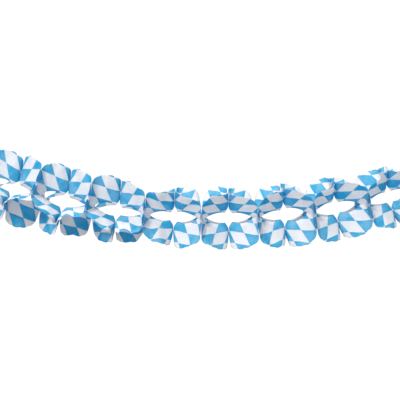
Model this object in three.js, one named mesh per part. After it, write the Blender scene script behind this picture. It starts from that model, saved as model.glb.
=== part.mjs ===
// A hanging pull-out paper garland: a chain of die-cut paper rings between two end cards.
//
// Millimetres, +Z up, X along the garland, -Y towards the viewer. Every ring is glued to one
// neighbour at its top and bottom and to the other at its near and far side. Pulling the stack
// open bends each flat ring into a saddle and leaves a row of see-through cells.

import * as THREE from 'three';
import { mergeVertices } from 'three/addons/utils/BufferGeometryUtils.js';

// Die-cut outline of a flat sheet: a ring with four broad petals, notched on the glue lines.
// The notches at the top and bottom are wider than those at the sides.
const HOLE_RADIUS = 27.5;
const NOTCH_RADIUS = 50;
const PETAL_RADIUS = 79;
const NOTCH_WIDTH_AT_TOP = 0.5;
const NOTCH_WIDTH_AT_SIDE = 0.4;
const SCALLOPS = 32;
const SCALLOP_DEPTH = 1.5;

// Paper, board and glue
const PAPER_THICKNESS = 0.2;
const CARD_THICKNESS = 1;
const GLUE_RADIUS = 43.2;
const GLUE_GAP = 0.3;

// How steeply the paper stands in each cell of the pulled-open stack, from left to right.
// A cell is the two sheets between one top and bottom fold and the next.
const CELL_STEEPNESS = [70, 63.5, 67, 73, 68.5, 70.5, 64, 68, 67.5];
const BEND_SHARPNESS = 4.5;
const PETAL_FLARE = 0.1;

// How it hangs: slope at the first card, radius of the sagging arc, and how far the stack is
// turned about its length at the start of each cell and at its end
const START_SLOPE = -20.6;
const SAG_RADIUS = 1300;
const TURNS = [-45, -35, -26, -20, 8, 10, 10, 9, 6, 8];

// Hole for the hanging thread, punched in each end card where it stands highest
const THREAD_HOLE_RADIUS = 2.5;
const THREAD_HOLE_INSET = 9.5;
const LEFT_HOLE_ANGLE = 45;
const RIGHT_HOLE_ANGLE = -45;

// Facets: points round each ring of a sheet's mesh, and steps in which a bend is followed
const POINTS_PER_SCALLOP = 3;
const POINTS_ON_GLUE_RING = 40;
const POINTS_ROUND_HOLE = 24;
const POINTS_ROUND_THREAD_HOLE = 12;
const BEND_STEPS = 240;

const PAPER_WHITE = 0xe9e9ee;
const PAPER_BLUE = 0x3fa5cf;
const BOARD_GREY = 0xd8d6d2;

const radians = THREE.MathUtils.degToRad;

// Distance of the die-cut edge from the sheet's centre, at an angle from the top glue line
function outlineRadius(angle) {
  const sideways = Math.sin(angle) ** 2;
  const width = THREE.MathUtils.lerp(NOTCH_WIDTH_AT_TOP, NOTCH_WIDTH_AT_SIDE, sideways);
  const petal = Math.abs(Math.sin(2 * angle)) ** width;
  const scallop = Math.abs(Math.sin((SCALLOPS / 2) * angle));
  return NOTCH_RADIUS + (PETAL_RADIUS - NOTCH_RADIUS) * petal + SCALLOP_DEPTH * scallop;
}

// The bend of a quarter of the sheet, followed across it from its middle. The paper is steepest
// there, levels out on the glued fold and tips slightly back in the petals. It isn't stretched:
// every step across the flat sheet keeps its length and gives a rise and a run.
const FOLD_REACH = GLUE_RADIUS / Math.SQRT2;
const BEND_REACH = (PETAL_RADIUS + SCALLOP_DEPTH) / Math.SQRT2;

function slopeAt(reach, steepest) {
  const levelling = 1 - (reach / FOLD_REACH) ** BEND_SHARPNESS;
  return levelling > 0 ? steepest * levelling : PETAL_FLARE * Math.tanh(levelling);
}

function followBend(steepest) {
  const step = BEND_REACH / BEND_STEPS;
  const rises = [0];
  const runs = [0];
  for (let i = 0; i < BEND_STEPS; i += 1) {
    const slope = slopeAt((i + 0.5) * step, steepest);
    rises.push(rises[i] + Math.sin(slope) * step);
    runs.push(runs[i] + Math.cos(slope) * step);
  }
  const read = (values, across) => {
    const place = Math.min(Math.abs(across) / step, BEND_STEPS - 0.001);
    const i = Math.floor(place);
    return Math.sign(across) * THREE.MathUtils.lerp(values[i], values[i + 1], place - i);
  };
  return {
    rise: (across) => read(rises, across),
    run: (across) => read(runs, across),
    height: 2 * read(rises, FOLD_REACH),
    drawIn: FOLD_REACH - read(runs, FOLD_REACH),
  };
}

// Where a flat point of the sheet, given by its radius and its angle from the top, goes when the
// stack is open. along runs from 0 on the top and bottom folds to the bend's height at the sides.
function openedPoint(bend, radius, angle) {
  const side = radius * Math.abs(Math.sin(angle));
  const top = radius * Math.abs(Math.cos(angle));
  const across = (side - top) / Math.SQRT2;
  const outward = (side + top) / Math.SQRT2 - bend.drawIn;
  const run = bend.run(across);

  // The two quarters beside a glue line meet on it, so what their bends leave open is closed
  const onLine = radius / Math.SQRT2;
  const opening = (onLine - bend.drawIn - bend.run(onLine)) / Math.SQRT2;
  const closeTop = top > side ? opening * (1 - side / top) ** 2 : 0;
  const closeSide = side > top ? opening * (1 - top / side) ** 2 : 0;

  return {
    along: bend.height / 2 + bend.rise(across),
    y: -Math.sign(Math.sin(angle)) * ((outward + run) / Math.SQRT2 - closeTop),
    z: Math.sign(Math.cos(angle)) * ((outward - run) / Math.SQRT2 - closeSide),
  };
}

const bends = CELL_STEEPNESS.map((steepness) => followBend(radians(steepness)));

// Distance along the garland at which each cell starts, and at which the last one ends
const cellStarts = [0];
bends.forEach((bend, cell) => {
  cellStarts.push(cellStarts[cell] + 2 * (bend.height + GLUE_GAP + PAPER_THICKNESS));
});

function turnAt(distance) {
  const next = cellStarts.findIndex((start, i) => i > 0 && start > distance);
  const cell = next < 0 ? bends.length - 1 : next - 1;
  const share = (distance - cellStarts[cell]) / (cellStarts[cell + 1] - cellStarts[cell]);
  return radians(THREE.MathUtils.lerp(TURNS[cell], TURNS[cell + 1], share));
}

// The garland's centre line sags in a shallow arc, and the sheets turn about it
function hangingFrame(distance) {
  const firstSlope = radians(START_SLOPE);
  const slope = firstSlope + distance / SAG_RADIUS;
  const centre = new THREE.Vector3(
    SAG_RADIUS * (Math.sin(slope) - Math.sin(firstSlope)),
    0,
    SAG_RADIUS * (Math.cos(firstSlope) - Math.cos(slope)),
  );
  const turn = new THREE.Matrix4().makeRotationY(-slope);
  turn.multiply(new THREE.Matrix4().makeRotationX(turnAt(distance)));
  return turn.setPosition(centre);
}

// Rings of points on the flat sheet, from the scalloped edge to the hole
function sheetRings() {
  const ring = (count, radiusAt) =>
    Array.from({ length: count }, (_, i) => {
      const angle = (i / count) * 2 * Math.PI;
      return { angle, radius: radiusAt(angle) };
    });
  return [
    ring(SCALLOPS * POINTS_PER_SCALLOP, outlineRadius),
    ring(POINTS_ON_GLUE_RING, () => GLUE_RADIUS),
    ring(POINTS_ROUND_HOLE, () => (HOLE_RADIUS + GLUE_RADIUS) / 2),
    ring(POINTS_ROUND_HOLE, () => HOLE_RADIUS),
  ];
}

// Triangles of the strip between two rings, which may have different numbers of points
function stripBetween(outer, inner) {
  const triangles = [];
  let i = 0;
  let j = 0;
  while (i < outer.length || j < inner.length) {
    const a = outer[i % outer.length];
    const b = inner[j % inner.length];
    if ((i + 1) / outer.length <= (j + 1) / inner.length) {
      i += 1;
      triangles.push([a, outer[i % outer.length], b]);
    } else {
      j += 1;
      triangles.push([a, inner[j % inner.length], b]);
    }
  }
  return triangles;
}

// The closed solid of one sheet, whose middle surface is given by place(radius, angle)
function sheetGeometry(place) {
  const vertices = [];
  const rings = sheetRings().map((ring) =>
    ring.map(({ radius, angle }) => {
      const outwards = place(radius + 0.2, angle).sub(place(radius - 0.2, angle));
      const around = place(radius, angle + 0.004).sub(place(radius, angle - 0.004));
      const offset = outwards.cross(around).setLength(PAPER_THICKNESS / 2);
      const middle = place(radius, angle);
      vertices.push(middle.clone().add(offset), middle.clone().sub(offset));
      return { front: vertices.length - 2, back: vertices.length - 1 };
    }),
  );

  const triangles = [];
  for (let i = 0; i + 1 < rings.length; i += 1) {
    stripBetween(rings[i], rings[i + 1]).forEach(([a, b, c]) => {
      triangles.push([a.front, b.front, c.front], [c.back, b.back, a.back]);
    });
  }
  const edgeAndHole = [rings[0], [...rings[rings.length - 1]].reverse()];
  edgeAndHole.forEach((ring) => {
    ring.forEach((a, i) => {
      const b = ring[(i + 1) % ring.length];
      triangles.push([a.back, b.back, b.front], [a.back, b.front, a.front]);
    });
  });

  const geometry = new THREE.BufferGeometry().setFromPoints(vertices);
  geometry.setIndex(triangles.flat());
  geometry.computeVertexNormals();
  return geometry;
}

// A point of the flat end card, across the garland and up
function cardPoint(radius, angle) {
  return new THREE.Vector2(-radius * Math.sin(angle), radius * Math.cos(angle));
}

function threadHoleCentre(angle) {
  return cardPoint(outlineRadius(angle) - THREAD_HOLE_INSET, angle);
}

function circlePoints(centre, radius, count) {
  const ring = new THREE.Path().absarc(centre.x, centre.y, radius, 0, 2 * Math.PI);
  return ring.getSpacedPoints(count).slice(0, count);
}

// The end card: flat board, cut with the sheets' outline and hole and punched for the thread
function cardGeometry(holeAngle) {
  const outline = new THREE.Shape(
    sheetRings()[0].map(({ radius, angle }) => cardPoint(radius, angle)),
  );
  outline.holes.push(
    new THREE.Path(circlePoints(new THREE.Vector2(), HOLE_RADIUS, POINTS_ROUND_HOLE)),
    new THREE.Path(
      circlePoints(threadHoleCentre(holeAngle), THREAD_HOLE_RADIUS, POINTS_ROUND_THREAD_HOLE),
    ),
  );
  const board = new THREE.ExtrudeGeometry(outline, {
    depth: CARD_THICKNESS,
    bevelEnabled: false,
  });
  board.deleteAttribute('normal');
  board.deleteAttribute('uv');

  // Stand it across the garland, with its thickness along X
  board.translate(0, 0, -CARD_THICKNESS / 2);
  board.rotateX(Math.PI / 2);
  board.rotateZ(Math.PI / 2);
  const closed = mergeVertices(board);
  closed.computeVertexNormals();
  return closed;
}

const garland = new THREE.Group();
garland.name = 'paper_garland';

// A sheet lies between two fold planes, half a glue gap from each. Its top and bottom folds are
// at the left plane in the first sheet of a cell, and at the right plane in the second.
function addSheet(name, leftPlane, bend, isFirstOfCell) {
  const frame = hangingFrame(leftPlane);
  const toFrame = frame.clone().invert();
  const clearance = (GLUE_GAP + PAPER_THICKNESS) / 2;
  const place = (radius, angle) => {
    const point = openedPoint(bend, radius, angle);
    const along = isFirstOfCell ? point.along : bend.height - point.along;
    return new THREE.Vector3(0, point.y, point.z)
      .applyMatrix4(hangingFrame(leftPlane + clearance + along))
      .applyMatrix4(toFrame);
  };
  const paper = new THREE.MeshStandardMaterial({
    color: isFirstOfCell ? PAPER_WHITE : PAPER_BLUE,
    roughness: 0.85,
    metalness: 0,
  });
  const sheet = new THREE.Mesh(sheetGeometry(place), paper);
  sheet.name = name;
  sheet.applyMatrix4(frame);
  garland.add(sheet);
}

function addCard(name, distance, holeAngle) {
  const board = new THREE.MeshStandardMaterial({ color: BOARD_GREY, roughness: 0.8, metalness: 0 });
  const card = new THREE.Mesh(cardGeometry(radians(holeAngle)), board);
  card.name = name;
  card.applyMatrix4(hangingFrame(distance));
  garland.add(card);
}

const sheetName = (number) => `sheet_${String(number).padStart(2, '0')}`;
bends.forEach((bend, cell) => {
  const middle = (cellStarts[cell] + cellStarts[cell + 1]) / 2;
  addSheet(sheetName(2 * cell + 1), cellStarts[cell], bend, true);
  addSheet(sheetName(2 * cell + 2), middle, bend, false);
});

const cardSetback = (GLUE_GAP + CARD_THICKNESS) / 2;
addCard('end_card_left', -cardSetback, LEFT_HOLE_ANGLE);
addCard('end_card_right', cellStarts[bends.length] + cardSetback, RIGHT_HOLE_ANGLE);

// The garland hangs from its left end: the origin is the thread hole in the left card's outer face
const leftHole = threadHoleCentre(radians(LEFT_HOLE_ANGLE));
const hangingPoint = new THREE.Vector3(-CARD_THICKNESS / 2, leftHole.x, leftHole.y);
hangingPoint.applyMatrix4(hangingFrame(-cardSetback));
garland.children.forEach((part) => part.position.sub(hangingPoint));

export default garland;
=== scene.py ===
import math

import bpy
import numpy as np
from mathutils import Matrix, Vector


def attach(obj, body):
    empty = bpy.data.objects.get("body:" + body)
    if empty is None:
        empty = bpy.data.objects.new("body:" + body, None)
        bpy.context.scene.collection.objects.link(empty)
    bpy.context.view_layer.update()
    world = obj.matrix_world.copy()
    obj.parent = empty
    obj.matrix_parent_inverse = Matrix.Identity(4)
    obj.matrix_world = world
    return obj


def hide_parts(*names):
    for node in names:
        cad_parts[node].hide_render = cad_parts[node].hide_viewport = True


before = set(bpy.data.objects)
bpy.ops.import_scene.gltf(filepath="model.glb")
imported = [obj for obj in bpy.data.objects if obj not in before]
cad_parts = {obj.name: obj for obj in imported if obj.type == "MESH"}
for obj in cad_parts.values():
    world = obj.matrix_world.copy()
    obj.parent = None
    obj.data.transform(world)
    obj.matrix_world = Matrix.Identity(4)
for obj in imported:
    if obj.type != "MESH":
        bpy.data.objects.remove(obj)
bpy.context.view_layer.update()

# The paper's shape, in millimetres and degrees, from the same dimensions as the CAD source

HOLE_RADIUS = 27.5
NOTCH_RADIUS = 50.0
PETAL_RADIUS = 79.0
NOTCH_WIDTH_AT_TOP = 0.5
NOTCH_WIDTH_AT_SIDE = 0.4
SCALLOPS = 32
SCALLOP_DEPTH = 1.5
CARD_THICKNESS = 1.0
CAD_PAPER = 0.2
GLUE_RADIUS = 43.2
GLUE_GAP = 0.3
CELL_STEEPNESS = [70, 63.5, 67, 73, 68.5, 70.5, 64, 68, 67.5]
BEND_SHARPNESS = 4.5
PETAL_FLARE = 0.1
START_SLOPE = -20.6
SAG_RADIUS = 1300.0
TURNS = [-45, -35, -26, -20, 8, 10, 10, 9, 6, 8]
THREAD_HOLE_RADIUS = 2.5
THREAD_HOLE_INSET = 9.5
LEFT_HOLE_ANGLE = 45.0
RIGHT_HOLE_ANGLE = -45.0
BEND_STEPS = 240

FOLD_REACH = GLUE_RADIUS / math.sqrt(2)
BEND_REACH = (PETAL_RADIUS + SCALLOP_DEPTH) / math.sqrt(2)
CLEARANCE = (GLUE_GAP + CAD_PAPER) / 2

# The render's paper is thinner, and each sheet departs a little from the even shape. Its free paper
# waves: WAVES says how many waves go round the sheet, and how high they are beside each other. Its
# lips stand open past the glued folds, and slits beside the folds open outward from the notches.

PAPER = 0.12
FIRST_SEED = 900
WAVES = [(3, 0.5), (5, 0.8), (8, 0.6), (13, 0.35), (21, 0.15)]
WAVE_TWIST_REACH = 16
WAVE_GROWTH_REACH = 50
WAVE_GROWTH = 1.3
LOOSE_WAVE = 3.6
LIP_OPEN = 2.2
LIP_UNEVENNESS = 0.8
LIP_REACH = 20
SLIT_OPEN = {"top": 1.2, "near": 0.8, "bottom": 5.0, "far": 5.0}
SLIT_LEAST = 0.5
SLIT_START = 6.0
SLIT_REACH = 30
SLIT_LIMIT = 1.3
SLIT_CLOSED_SHARE = 0.15
OPENING_POWER = 1.5


def outline_radius(angle):
    widening = NOTCH_WIDTH_AT_SIDE - NOTCH_WIDTH_AT_TOP
    width = NOTCH_WIDTH_AT_TOP + widening * np.sin(angle) ** 2
    petal = np.abs(np.sin(2 * angle)) ** width
    scallop = np.abs(np.sin(SCALLOPS / 2 * angle))
    return NOTCH_RADIUS + (PETAL_RADIUS - NOTCH_RADIUS) * petal + SCALLOP_DEPTH * scallop


def follow_bend(steepest):
    """The bend of a quarter of the sheet, followed across it from its middle"""
    step = BEND_REACH / BEND_STEPS
    reach = (np.arange(BEND_STEPS) + 0.5) * step
    levelling = 1 - (reach / FOLD_REACH) ** BEND_SHARPNESS
    slope = np.where(levelling > 0, steepest * levelling, PETAL_FLARE * np.tanh(levelling))
    rises = np.concatenate([[0], np.cumsum(np.sin(slope) * step)])
    runs = np.concatenate([[0], np.cumsum(np.cos(slope) * step)])
    at = np.arange(BEND_STEPS + 1) * step

    def read(values, across):
        return np.sign(across) * np.interp(np.abs(across), at, values)

    return {
        "rise": lambda across: read(rises, across),
        "slope": lambda across: np.interp(np.abs(across), reach, slope),
        "run": lambda across: read(runs, across),
        "height": 2 * float(read(rises, FOLD_REACH)),
        "draw_in": FOLD_REACH - float(read(runs, FOLD_REACH)),
    }


def looseness(seed):
    """One sheet's departures: the wave of its paper, and how far its lips and slits stand open"""
    rng = np.random.default_rng(seed)
    waves = []
    for order, size in WAVES:
        height = size * rng.normal()
        start = rng.uniform(0, 2 * math.pi)
        twist = rng.normal() / WAVE_TWIST_REACH
        waves.append((order, height, start, twist))
    first, second = rng.uniform(0, 2 * math.pi, 2)
    fold_of_eighth = ["top", "near", "near", "bottom", "bottom", "far", "far", "top"]
    widths = np.array([SLIT_OPEN[fold] for fold in fold_of_eighth])
    widths = widths * rng.uniform(SLIT_LEAST, 1, len(widths))

    def wave(radius, angle):
        growth = np.maximum((radius - HOLE_RADIUS) / WAVE_GROWTH_REACH, 0) ** WAVE_GROWTH
        total = 0
        for order, height, start, twist in waves:
            total = total + height * np.sin(order * angle + start + twist * radius)
        return growth * total

    def lip(angle):
        unevenness = LIP_UNEVENNESS * np.sin(2 * angle + first) * np.sin(3 * angle + second)
        return LIP_OPEN * (1 + unevenness)

    def slit(angle):
        eighth = np.floor(np.mod(angle, 2 * math.pi) / (math.pi / 4)).astype(int)
        return widths[eighth % len(widths)]

    return wave, lip, slit


def smooth(share):
    return share * share * (3 - 2 * share)


def opened(bend, radius, angle, loose):
    """along, y, z of flat points of a sheet whose stack is open"""
    side = radius * np.abs(np.sin(angle))
    top = radius * np.abs(np.cos(angle))
    across = (side - top) / math.sqrt(2)
    flat_outward = (side + top) / math.sqrt(2)
    outward = flat_outward - bend["draw_in"]
    slope = bend["slope"](across)

    # The two quarters beside a glue line meet on it, so what their bends leave open is closed
    on_line = radius / math.sqrt(2)
    opening = (on_line - bend["draw_in"] - bend["run"](on_line)) / math.sqrt(2)
    close = opening * (1 - np.minimum(side, top) / np.maximum(side, top)) ** 2
    close_top = np.where(top > side, close, 0)
    close_side = np.where(side > top, close, 0)

    # What the sheet departs by. Lips and slits open away from the neighbour glued on that side.
    wave, lip, slit = loose
    free = np.clip(1 - (across / FOLD_REACH) ** 2, 0, 1) ** OPENING_POWER
    stand_off = LOOSE_WAVE * free * wave(radius, angle)
    past_fold = np.maximum(np.abs(across) - FOLD_REACH, 0) / LIP_REACH
    past_notch = (flat_outward - FOLD_REACH - SLIT_START) / SLIT_REACH
    past_notch = np.clip(past_notch, 0, SLIT_LIMIT) ** OPENING_POWER
    by_fold = (np.abs(across) / FOLD_REACH - SLIT_CLOSED_SHARE) / (1 - SLIT_CLOSED_SHARE)
    by_fold = smooth(np.clip(by_fold, 0, 1))
    apart = lip(angle) * past_fold ** OPENING_POWER + slit(angle) * past_notch * by_fold

    run = bend["run"](across) + stand_off * np.sin(slope)
    rise = bend["rise"](across) - stand_off * np.cos(slope) - np.sign(across) * apart
    y = -np.sign(np.sin(angle)) * ((outward + run) / math.sqrt(2) - close_top)
    z = np.sign(np.cos(angle)) * ((outward - run) / math.sqrt(2) - close_side)
    return bend["height"] / 2 + rise, y, z


BENDS = [follow_bend(math.radians(steepness)) for steepness in CELL_STEEPNESS]

# Distances along the garland of the glued folds, and from the outer ones to the cards' middles

FOLDS = [0.0]
for bend in BENDS:
    for _ in range(2):
        FOLDS.append(FOLDS[-1] + bend["height"] + GLUE_GAP + CAD_PAPER)
SETBACK = (GLUE_GAP + CARD_THICKNESS) / 2


def turn_at(distance):
    starts = np.array(FOLDS[::2])
    cell = np.clip(np.searchsorted(starts, distance, side="right") - 1, 0, len(BENDS) - 1)
    share = (distance - starts[cell]) / (starts[cell + 1] - starts[cell])
    turns = np.radians(TURNS)
    return turns[cell] + (turns[cell + 1] - turns[cell]) * share


def slope_at(distance):
    return math.radians(START_SLOPE) + distance / SAG_RADIUS


def hanging(distance, y, z):
    """Points at y, z of the planes across the garland at these distances from its start"""
    distance = np.asarray(distance, float)
    first = slope_at(0)
    slope = slope_at(distance)
    roll = turn_at(distance)
    across = y * np.cos(roll) - z * np.sin(roll)
    up = y * np.sin(roll) + z * np.cos(roll)
    centre_x = SAG_RADIUS * (np.sin(slope) - math.sin(first))
    centre_z = SAG_RADIUS * (math.cos(first) - np.cos(slope))
    return np.stack([centre_x - up * np.sin(slope), across, centre_z + up * np.cos(slope)], -1)


def way_along(distance):
    slope = slope_at(distance)
    return np.array([math.cos(slope), 0, math.sin(slope)])


def thread_hole(angle):
    angle = math.radians(angle)
    radius = float(outline_radius(angle)) - THREAD_HOLE_INSET
    return -radius * math.sin(angle), radius * math.cos(angle)


# The thread hole in the left card's outer face is the origin
ORIGIN = hanging(-SETBACK, *thread_hole(LEFT_HOLE_ANGLE))
ORIGIN = ORIGIN - CARD_THICKNESS / 2 * way_along(-SETBACK)
MM = 0.001

# Meshes. Points lie closer together by the notches and the rim, and each knows its place on the
# flat piece. The surface's direction is found from points a small step away.

ROUND = SCALLOPS * 10
RADIAL = 20
NOTCH_CROWDING = 0.45
RIM_CROWDING = 0.9
RADIUS_STEP = 0.2
ANGLE_STEP = 0.004


def link(obj):
    bpy.context.scene.collection.objects.link(obj)
    return obj


def store_flat_place(mesh, places):
    stored = mesh.attributes.new("flat_place", "FLOAT_VECTOR", "POINT")
    stored.data.foreach_set("vector", places.astype(np.float32).ravel())


def sheet_faces():
    """Faces of a sheet's front, back, rim and hole, and 1 for each face that is a cut edge"""
    count = RADIAL * ROUND
    last = count - ROUND
    faces = []
    for start in range(0, last, ROUND):
        for j in range(ROUND):
            k = (j + 1) % ROUND
            a = start + j
            b = start + k
            c = b + ROUND
            d = a + ROUND
            faces.append((a, d, c, b))
            faces.append((a + count, b + count, c + count, d + count))
    cut = [0.0] * len(faces)
    for j in range(ROUND):
        k = (j + 1) % ROUND
        faces.append((last + j, last + j + count, last + k + count, last + k))
        faces.append((j, k, k + count, j + count))
        cut += [1.0, 1.0]
    return faces, cut


def sheet_mesh(name, number):
    cell, second = divmod(number, 2)
    bend = BENDS[cell]
    loose = looseness(FIRST_SEED + number)

    def place(radius, angle):
        along, y, z = opened(bend, radius, angle, loose)
        if second:
            along = bend["height"] - along
        return hanging(FOLDS[number] + CLEARANCE + along, y, z) - ORIGIN

    even = np.arange(ROUND) / ROUND * 2 * math.pi
    angle = even - NOTCH_CROWDING / 4 * np.sin(4 * even)
    share = np.linspace(0, 1, RADIAL) ** RIM_CROWDING
    angle = np.repeat(angle[None, :], RADIAL, 0)
    rim = outline_radius(angle)
    radius = HOLE_RADIUS + (rim - HOLE_RADIUS) * share[:, None]
    middle = place(radius, angle)
    outwards = place(radius + RADIUS_STEP, angle) - place(radius - RADIUS_STEP, angle)
    around = place(radius, angle + ANGLE_STEP) - place(radius, angle - ANGLE_STEP)
    normal = np.cross(outwards, around)
    normal /= np.linalg.norm(normal, axis=-1, keepdims=True)
    front = middle + normal * PAPER / 2
    back = middle - normal * PAPER / 2
    verts = np.concatenate([front.reshape(-1, 3), back.reshape(-1, 3)]) * MM
    faces, cut = sheet_faces()

    mesh = bpy.data.meshes.new(name)
    mesh.from_pydata(verts.tolist(), [], faces)
    mesh.polygons.foreach_set("use_smooth", [True] * len(mesh.polygons))
    flat = np.stack([radius * np.sin(angle), radius * np.cos(angle), rim - radius], -1)
    flat = flat.reshape(-1, 3)
    store_flat_place(mesh, np.concatenate([flat, flat]))
    mesh.attributes.new("cut_edge", "FLOAT", "FACE").data.foreach_set("value", cut)
    mesh.validate()
    mesh.update()
    return mesh


# Materials


class Nodes:
    """The node tree of a material or a world, with short calls for the nodes used here"""

    def __init__(self, owner):
        owner.use_nodes = True
        self.tree = owner.node_tree
        self.tree.nodes.clear()

    def put(self, socket, value):
        if isinstance(value, bpy.types.NodeSocket):
            self.tree.links.new(value, socket)
        else:
            socket.default_value = value

    def add(self, kind, values=None, **settings):
        """A new node with these settings and input values"""
        node = self.tree.nodes.new(kind)
        for key, setting in settings.items():
            setattr(node, key, setting)
        for key, value in (values or {}).items():
            self.put(node.inputs[key], value)
        return node

    def maths(self, operation, *values):
        return self.add("ShaderNodeMath", dict(enumerate(values)), operation=operation).outputs[0]

    def mix(self, factor, a, b, blend="MIX"):
        values = {"Factor": factor, "A": a, "B": b}
        node = self.add("ShaderNodeMix", values, data_type="RGBA", blend_type=blend)
        return node.outputs["Result"]

    def step(self, value, low, high, to_low=0.0, to_high=1.0):
        """to_low up to the value low, to_high from the value high on, and a smooth way between"""
        values = {0: value, 1: low, 2: high, 3: to_low, 4: to_high}
        return self.add("ShaderNodeMapRange", values, interpolation_type="SMOOTHSTEP").outputs[0]

    def noise(self, vector, scale, detail, roughness):
        values = {"Vector": vector, "Scale": scale, "Detail": detail, "Roughness": roughness}
        return self.add("ShaderNodeTexNoise", values).outputs["Fac"]

    def centred(self, noise):
        return self.maths("SUBTRACT", noise, 0.5)

    def vector(self, x, y, z):
        return self.add("ShaderNodeCombineXYZ", {0: x, 1: y, 2: z}).outputs[0]

    def parts(self, vector):
        return self.add("ShaderNodeSeparateXYZ", {0: vector}).outputs

    def attribute(self, name, output):
        return self.add("ShaderNodeAttribute", attribute_name=name).outputs[output]

    def dim(self, colour, factor):
        return self.mix(1.0, colour, self.vector(factor, factor, factor), "MULTIPLY")

    def bump(self, height, strength, distance):
        values = {"Height": height, "Strength": strength, "Distance": distance}
        return self.add("ShaderNodeBump", values).outputs[0]

    def seen_by(self, *rays):
        """1 for rays of these kinds and 0 for all others"""
        path = self.add("ShaderNodeLightPath")
        seen = path.outputs[rays[0]]
        for ray in rays[1:]:
            seen = self.maths("MAXIMUM", seen, path.outputs[ray])
        return seen


# The paper's looks, in millimetres. LINES has the tilt, spacing and start of the print's two
# families of lines, with an even number of LINES_BELOW the middle to keep every place positive.
# Every other sheet's print is shifted by ODD_SHIFT, and each sheet's noise lies SHEETS_APART past
# the noise of the sheet before.

LINES = [(-0.50, 22.5, 9.75), (0.36, 22.0, 21.5)]
LINES_BELOW = 40
ODD_SHIFT = -2.5
INK_EDGE = 0.12
INK_WAVER = 0.3
SHEETS_APART = (311.0, 173.0)

# Noises: waves per millimetre, detail and roughness

WAVER_NOISE = (0.9, 2.0, 0.5)
CRUMPLE_NOISE = (0.035, 2.0, 0.5)
RIDGE_NOISE = (0.075, 3.0, 0.55)
GRAIN_NOISE = (1.6, 4.0, 0.65)
CLOUD_NOISE = (0.045, 3.0, 0.5)
FIBRE_NOISE = (0.5, 4.0, 0.6)

# Steps: where each starts and ends, and what a shade multiplies by there

CREASE = (0.0, 0.02)
FOLD_LINE = (0.2, 1.6)
RIM_LINE = (0.2, 2.2)
WORN_GRAIN = (0.44, 0.60)
THICK_INK = (0.35, 0.65)
GRAIN_SHADE = (0.42, 0.72, 1.0, 0.93)
FIBRE_SHADE = (0.35, 0.65, 1.0, 0.9)

CREASE_WEAR = 0.16
FOLD_WEAR = 0.22
RIM_WEAR = 0.75
PAPER_BUMP = 1.0
CRUMPLE_HEIGHT = 2.6
RIDGE_HEIGHT = 2.0
RIDGE_TOP = 0.12
GRAIN_HEIGHT = 0.03
ROUGH_PAPER = 0.82
ROUGH_INK = -0.16
ROUGH_GRAIN = 0.2
ROUGH_WEAR = 0.1
PAPER_SHINE = 0.3
SEEN_THROUGH = 0.56

WHITE_WARM = (0.89, 0.88, 0.89, 1)
WHITE_COOL = (0.85, 0.86, 0.89, 1)
WHITE_THROUGH = (0.95, 0.95, 0.97, 1)
BLUE_FULL = (0.07, 0.51, 0.69, 1)
BLUE_THIN = (0.31, 0.67, 0.77, 1)
BLUE_RUBBED = (0.42, 0.68, 0.84, 1)
BLUE_THROUGH = (0.01, 0.61, 0.90, 1)


def ink_on(n, near, up, shift, own):
    """1 where the lozenges are printed and 0 between them. The ink's edge wavers a little."""
    waver = n.maths("MULTIPLY", n.centred(n.noise(own, *WAVER_NOISE)), INK_WAVER)
    signs = []
    for tilt, spacing, start in LINES:
        across = n.maths("MULTIPLY", n.maths("SUBTRACT", near, shift), -math.sin(tilt))
        across = n.maths("MULTIPLY_ADD", up, math.cos(tilt), across)
        across = n.maths("ADD", n.maths("SUBTRACT", across, start), waver)
        across = n.maths("ADD", across, spacing / 2 + LINES_BELOW * spacing)
        wave = n.maths("PINGPONG", across, spacing)
        signs.append(n.maths("SUBTRACT", wave, spacing / 2))
    product = n.maths("MULTIPLY", signs[0], signs[1])
    reach = n.maths("MINIMUM", n.maths("ABSOLUTE", signs[0]), n.maths("ABSOLUTE", signs[1]))
    edge = n.maths("MULTIPLY", n.maths("SIGN", product), reach)
    return n.step(edge, -INK_EDGE, INK_EDGE, 1.0, 0.0)


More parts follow.
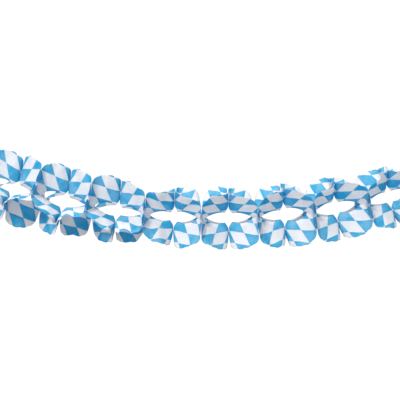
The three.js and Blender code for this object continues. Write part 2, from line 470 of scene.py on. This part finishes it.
def paper_material(name, shift, seed):
    """Tissue paper with the print on both faces. flat_place holds a point's place on the flat
    sheet, near side and top positive, so that the print follows every bend, and the distance from
    the point to the cut outline."""
    material = bpy.data.materials.new(name)
    n = Nodes(material)
    near, up, inside = n.parts(n.attribute("flat_place", "Vector"))
    cut = n.attribute("cut_edge", "Fac")
    own_near = n.maths("ADD", near, SHEETS_APART[0] * seed)
    own_up = n.maths("ADD", up, SHEETS_APART[1] * seed)
    own = n.vector(own_near, own_up, 0.0)
    ink = ink_on(n, near, up, shift, own)

    # Ridges and hollows of paper that was packed and handled
    crumple = n.noise(own, *CRUMPLE_NOISE)
    ridge = n.maths("ABSOLUTE", n.centred(n.noise(own, *RIDGE_NOISE)))
    grain = n.noise(own, *GRAIN_NOISE)
    crease = n.step(ridge, *CREASE, 1.0, 0.0)

    # The line where a sheet leaves its neighbour: side and top differ there by the glue's radius
    bent = n.maths("SUBTRACT", n.maths("ABSOLUTE", near), n.maths("ABSOLUTE", up))
    bent = n.maths("SUBTRACT", n.maths("ABSOLUTE", bent), GLUE_RADIUS)
    bent = n.step(n.maths("ABSOLUTE", bent), *FOLD_LINE, 1.0, 0.0)

    # Ink lies uneven, and both colours are rubbed thin at the rim, on ridges and on the fold line
    thick = n.step(n.noise(own, *CLOUD_NOISE), *THICK_INK)
    blue = n.mix(thick, BLUE_THIN, BLUE_FULL)
    white = n.mix(thick, WHITE_COOL, WHITE_WARM)
    worn = n.maths("MULTIPLY", n.step(inside, *RIM_LINE, RIM_WEAR, 0.0), n.step(grain, *WORN_GRAIN))
    worn = n.maths("MAXIMUM", worn, n.maths("MULTIPLY", crease, CREASE_WEAR))
    worn = n.maths("MAXIMUM", worn, n.maths("MULTIPLY", bent, FOLD_WEAR))
    blue = n.mix(worn, blue, BLUE_RUBBED)
    white = n.mix(worn, white, WHITE_COOL)
    colour = n.dim(n.mix(ink, white, blue), n.step(grain, *GRAIN_SHADE))
    colour = n.mix(cut, colour, WHITE_WARM)

    # Light that comes through takes more of the ink's colour, and is dimmed where fibres lie
    fibres = n.step(n.noise(own, *FIBRE_NOISE), *FIBRE_SHADE)
    deep = n.dim(n.mix(ink, WHITE_THROUGH, BLUE_THROUGH), fibres)

    uneven = n.maths("MULTIPLY", n.centred(grain), ROUGH_GRAIN)
    rough = n.maths("MULTIPLY_ADD", ink, ROUGH_INK, ROUGH_PAPER)
    rough = n.maths("ADD", rough, uneven)
    rough = n.maths("MULTIPLY_ADD", worn, ROUGH_WEAR, rough)
    height = n.maths("MULTIPLY", crumple, CRUMPLE_HEIGHT)
    height = n.maths("MULTIPLY_ADD", n.maths("MINIMUM", ridge, RIDGE_TOP), -RIDGE_HEIGHT, height)
    height = n.maths("MULTIPLY_ADD", grain, GRAIN_HEIGHT, height)
    normal = n.bump(height, PAPER_BUMP, MM)

    body = n.add("ShaderNodeBsdfPrincipled", {
        "Base Color": colour,
        "Roughness": rough,
        "Normal": normal,
        "Specular IOR Level": PAPER_SHINE,
    })
    through = n.add("ShaderNodeBsdfTranslucent", {"Color": deep, "Normal": normal})
    values = {0: SEEN_THROUGH, 1: body.outputs[0], 2: through.outputs[0]}
    both = n.add("ShaderNodeMixShader", values)
    n.add("ShaderNodeOutputMaterial", {"Surface": both.outputs[0]})
    return material


# The board's looks, with noises and steps as above. LAYERS_BELOW keeps every depth positive.

BOARD_PALE = (0.72, 0.70, 0.67, 1)
BOARD_GREY = (0.60, 0.58, 0.55, 1)
BOARD_DARK = (0.36, 0.33, 0.30, 1)
SPECK_NOISE = (0.35, 4.0, 0.7)
BOARD_NOISE = (2.2, 3.0, 0.6)
FIBROUS = (0.35, 0.75)
SPECKLED = (0.62, 0.74, 0.0, 0.35)
LAYER_THICKNESS = 0.18
LAYERS_BELOW = 5.0
LAYER_EDGE = (0.03, 0.12)
LINER_DEPTH = (0.36, 0.42)
ROUGH_BOARD = 0.72
ROUGH_FIBRE = 0.2
BOARD_BUMP = 0.3
BOARD_BUMP_DEPTH = 0.2


def board_material(name):
    """Grey board with a pale liner on its faces and its layers showing along the cut edge"""
    material = bpy.data.materials.new(name)
    n = Nodes(material)
    place = n.attribute("flat_place", "Vector")
    depth = n.parts(place)[2]
    speck = n.noise(place, *SPECK_NOISE)
    fibre = n.noise(place, *BOARD_NOISE)
    face = n.mix(n.step(fibre, *FIBROUS), BOARD_PALE, BOARD_GREY)
    face = n.mix(n.step(speck, *SPECKLED), face, BOARD_DARK)
    layers = n.maths("PINGPONG", n.maths("ADD", depth, LAYERS_BELOW), LAYER_THICKNESS)
    core = n.mix(n.step(layers, *LAYER_EDGE), BOARD_DARK, BOARD_GREY)
    in_core = n.step(n.maths("ABSOLUTE", depth), *LINER_DEPTH, 1.0, 0.0)
    height = n.maths("ADD", fibre, speck)
    body = n.add("ShaderNodeBsdfPrincipled", {
        "Base Color": n.mix(in_core, face, core),
        "Roughness": n.maths("MULTIPLY_ADD", fibre, ROUGH_FIBRE, ROUGH_BOARD),
        "Normal": n.bump(height, BOARD_BUMP, BOARD_BUMP_DEPTH * MM),
    })
    n.add("ShaderNodeOutputMaterial", {"Surface": body.outputs[0]})
    return material


# Sheets

for number in range(2 * len(CELL_STEEPNESS)):
    name = f"sheet_{number + 1:02d}"
    paper = link(bpy.data.objects.new(f"paper_{number + 1:02d}", sheet_mesh(name, number)))
    material = paper_material(name + "_paper", ODD_SHIFT * (number % 2), number + 1)
    paper.data.materials.append(material)
    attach(paper, "root")
    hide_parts(name)

# End cards: the CAD outline with its scallops rounded, and softened edges

SOFT_EDGE = 0.1
POINTS_PER_SCALLOP = 6
POINTS_ROUND_HOLE = 96
POINTS_ROUND_THREAD_HOLE = 24
EDGE_STEPS = 2

board = board_material("board")


def ring(count, centre, radius_at):
    points = []
    for i in range(count):
        angle = i / count * 2 * math.pi
        radius = radius_at(angle)
        y = centre[0] - radius * math.sin(angle)
        z = centre[1] + radius * math.cos(angle)
        points.append((y, z))
    return points


def card_rim(angle):
    return float(outline_radius(np.array(angle))) - SOFT_EDGE


def flat_card(name, hole_angle):
    """Mesh of a card that lies flat at its own centre"""
    rings = [
        ring(SCALLOPS * POINTS_PER_SCALLOP, (0, 0), card_rim),
        ring(POINTS_ROUND_HOLE, (0, 0), lambda _: HOLE_RADIUS + SOFT_EDGE),
        ring(
            POINTS_ROUND_THREAD_HOLE,
            thread_hole(hole_angle),
            lambda _: THREAD_HOLE_RADIUS + SOFT_EDGE,
        ),
    ]
    curve = bpy.data.curves.new(name, "CURVE")
    curve.dimensions = "2D"
    curve.fill_mode = "BOTH"
    curve.extrude = CARD_THICKNESS / 2 - SOFT_EDGE
    curve.bevel_depth = SOFT_EDGE
    curve.bevel_resolution = EDGE_STEPS
    for points in rings:
        spline = curve.splines.new("POLY")
        spline.points.add(len(points) - 1)
        for point, (y, z) in zip(spline.points, points):
            point.co = (y, z, 0, 1)
        spline.use_cyclic_u = True
    shape = link(bpy.data.objects.new(name, curve))
    bpy.context.view_layer.update()
    shape_now = shape.evaluated_get(bpy.context.evaluated_depsgraph_get())
    mesh = bpy.data.meshes.new_from_object(shape_now)
    bpy.data.objects.remove(shape)
    return mesh


def card(name, node, distance, hole_angle):
    mesh = flat_card(name, hole_angle)
    flat = np.zeros(len(mesh.vertices) * 3, np.float32)
    mesh.vertices.foreach_get("co", flat)
    flat = flat.reshape(-1, 3)
    store_flat_place(mesh, flat)
    middle = hanging(distance, flat[:, 0].astype(float), flat[:, 1].astype(float))
    place = (middle + flat[:, 2:3] * way_along(distance) - ORIGIN) * MM
    mesh.vertices.foreach_set("co", place.astype(np.float32).ravel())
    mesh.update()
    mesh.name = name
    mesh.materials.clear()
    mesh.materials.append(board)
    piece = link(bpy.data.objects.new(name, mesh))
    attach(piece, "root")
    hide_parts(node)


card("card_left", "end_card_left", -SETBACK, LEFT_HOLE_ANGLE)
card("card_right", "end_card_right", FOLDS[-1] + SETBACK, RIGHT_HOLE_ANGLE)

# Camera: level with the garland, at the photograph's distance and view

SENSOR_WIDTH = 36
PICTURE_WIDTH = 400
FOCAL_PIXELS = 600
CAMERA_BACK = 1080.0
SEES_AS_FAR_AS = 50
TARGET = np.array([428.6, 0, -51.2]) - ORIGIN

camera = link(bpy.data.objects.new("camera", bpy.data.cameras.new("camera")))
camera.data.sensor_width = SENSOR_WIDTH
camera.data.lens = SENSOR_WIDTH * FOCAL_PIXELS / PICTURE_WIDTH
camera.location = Vector((TARGET[0], TARGET[1] - CAMERA_BACK, TARGET[2])) * MM
camera.rotation_euler = (math.pi / 2, 0, 0)
camera.data.clip_end = SEES_AS_FAR_AS
bpy.context.scene.camera = camera

# Room, in metres: a pale floor that curves up into a pale backdrop, two soft lamps and an even sky.
# Floor and sky are brighter to the camera than the light that they throw on the paper.

FLOOR_BELOW = 1.3
FLOOR_START = -6.0
WALL_BEHIND = 2.2
WALL_TOP = 6.0
HALF_WIDTH = 8.0
CORNER_RADIUS = 0.8
CORNER_STEPS = 16
ROOM_GREY = (0.18, 0.18, 0.18, 1)
ROOM_GLOW = 0.92
SKY_WHITE = (1, 1, 1, 1)
SKY_LIGHT = 0.57
GARLAND_MIDDLE = (0.43, 0, -0.1)


def room_material():
    material = bpy.data.materials.new("room")
    n = Nodes(material)
    seen = n.seen_by("Is Camera Ray", "Is Glossy Ray", "Is Transmission Ray")
    body = n.add("ShaderNodeBsdfDiffuse", {"Color": ROOM_GREY})
    glow = n.add("ShaderNodeEmission", {"Strength": n.maths("MULTIPLY", seen, ROOM_GLOW)})
    both = n.add("ShaderNodeAddShader", {0: body.outputs[0], 1: glow.outputs[0]})
    n.add("ShaderNodeOutputMaterial", {"Surface": both.outputs[0]})
    return material


def room():
    profile = [(FLOOR_START, 0.0)]
    for i in range(CORNER_STEPS + 1):
        angle = i / CORNER_STEPS * math.pi / 2
        y = WALL_BEHIND - CORNER_RADIUS + CORNER_RADIUS * math.sin(angle)
        profile.append((y, CORNER_RADIUS - CORNER_RADIUS * math.cos(angle)))
    profile.append((WALL_BEHIND, WALL_TOP))
    verts = [(x, y, z - FLOOR_BELOW) for y, z in profile for x in (-HALF_WIDTH, HALF_WIDTH)]
    faces = [(2 * i, 2 * i + 1, 2 * i + 3, 2 * i + 2) for i in range(len(profile) - 1)]
    mesh = bpy.data.meshes.new("room")
    mesh.from_pydata(verts, [], faces)
    mesh.polygons.foreach_set("use_smooth", [True] * len(mesh.polygons))
    mesh.materials.append(room_material())
    link(bpy.data.objects.new("room", mesh))


def lamp(name, energy, size, place):
    data = bpy.data.lights.new(name, "AREA")
    data.energy = energy
    data.shape = "DISK"
    data.size = size
    obj = link(bpy.data.objects.new(name, data))
    obj.location = place
    aim = Vector(GARLAND_MIDDLE) - obj.location
    obj.rotation_euler = aim.to_track_quat("-Z", "Y").to_euler()


def sky():
    world = bpy.data.worlds.new("world")
    bpy.context.scene.world = world
    n = Nodes(world)
    seen = n.seen_by("Is Camera Ray", "Is Glossy Ray")
    strength = n.step(seen, 0.0, 1.0, SKY_LIGHT, 1.0)
    light = n.add("ShaderNodeBackground", {"Color": SKY_WHITE, "Strength": strength})
    n.add("ShaderNodeOutputWorld", {"Surface": light.outputs[0]})


room()
lamp("key", 61, 0.5, (-0.45, -2.18, 1))
lamp("overhead", 35, 0.6, (0.43, 0.1, 2.5))
sky()

bpy.context.scene.view_settings.view_transform = "Standard"
